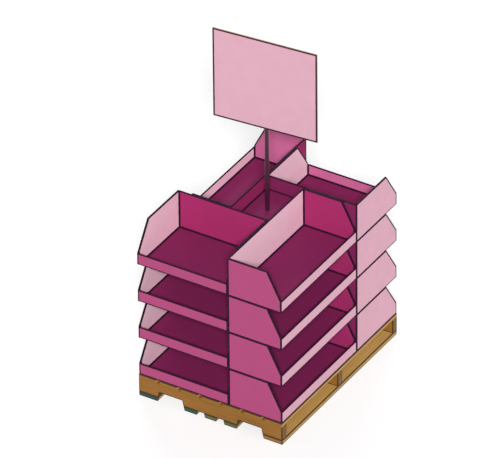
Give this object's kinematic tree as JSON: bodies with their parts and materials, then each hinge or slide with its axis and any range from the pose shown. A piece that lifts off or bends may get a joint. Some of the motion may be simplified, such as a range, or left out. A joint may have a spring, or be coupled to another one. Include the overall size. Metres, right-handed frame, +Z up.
{
  "type": "cardboard pallet display stand",
  "caption": "Pallet display stand: four stacks of open-fronted card trays set pinwheel fashion round a central well on a wooden pallet, with a post carrying a plain header card.",
  "frame": {"origin": "middle of the pallet's footprint, at floor level", "axes": "+Z up, +X to the right along the pallet's short side, +Y to the rear along its long side"},
  "size_m": [0.6, 0.8, 1.396],
  "materials": {
    "pallet_wood": "rough sawn",
    "tray_card": "printed, matt",
    "core_card": "printed, matt",
    "header_card": "printed, matt",
    "pocket_card": "printed, matt",
    "post_paint": "satin paint",
    "foot_plastic": "matt",
    "plug_plastic": "matt",
    "screw_steel": "zinc plated"
  },
  "bodies": {
    "root": {"bottom_board_inner_left": "pallet_wood", "bottom_board_inner_right": "pallet_wood", "bottom_board_left": "pallet_wood", "bottom_board_middle": "pallet_wood", "bottom_board_right": "pallet_wood", "core_cap": "core_card", "core_sleeve": "core_card", "deck_board_1": "pallet_wood", "deck_board_2": "pallet_wood", "deck_board_3": "pallet_wood", "deck_board_4": "pallet_wood", "deck_board_5": "pallet_wood", "deck_board_6": "pallet_wood", "deck_board_7": "pallet_wood", "foot_screws": "screw_steel", "header_card": "header_card", "header_pocket": "pocket_card", "post": "post_paint", "post_foot": "foot_plastic", "post_plug": "plug_plastic", "stringer_front": "pallet_wood", "stringer_middle": "pallet_wood", "stringer_rear": "pallet_wood", "tray_front_1": "tray_card", "tray_front_2": "tray_card", "tray_front_3": "tray_card", "tray_front_4": "tray_card", "tray_left_1": "tray_card", "tray_left_2": "tray_card", "tray_left_3": "tray_card", "tray_left_4": "tray_card", "tray_rear_1": "tray_card", "tray_rear_2": "tray_card", "tray_rear_3": "tray_card", "tray_rear_4": "tray_card", "tray_right_1": "tray_card", "tray_right_2": "tray_card", "tray_right_3": "tray_card", "tray_right_4": "tray_card"}
  },
  "joints": []
}
